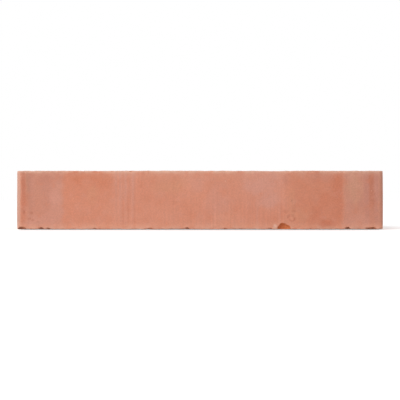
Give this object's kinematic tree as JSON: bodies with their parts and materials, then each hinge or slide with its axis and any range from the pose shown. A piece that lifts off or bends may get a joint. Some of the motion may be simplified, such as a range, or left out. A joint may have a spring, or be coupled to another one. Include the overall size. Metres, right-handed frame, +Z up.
{
  "type": "clay brick",
  "caption": "Long, thin solid clay facing brick with rounded upright arrises, plain wire-cut beds and a small chip on its lower front arris, laid in courses to face a wall",
  "frame": {"origin": "middle of the lower bed, on the surface that the brick lies on", "axes": "+X along the brick's length, +Y from its face to its back, +Z up from bed to bed; the face that shows in a wall is at -Y"},
  "size_m": [0.29, 0.095, 0.047],
  "materials": {
    "fired_clay": "matt unglazed terracotta with faint upright drag lines and kiln flash bands"
  },
  "bodies": {
    "root": {"brick": "fired_clay"}
  },
  "joints": []
}
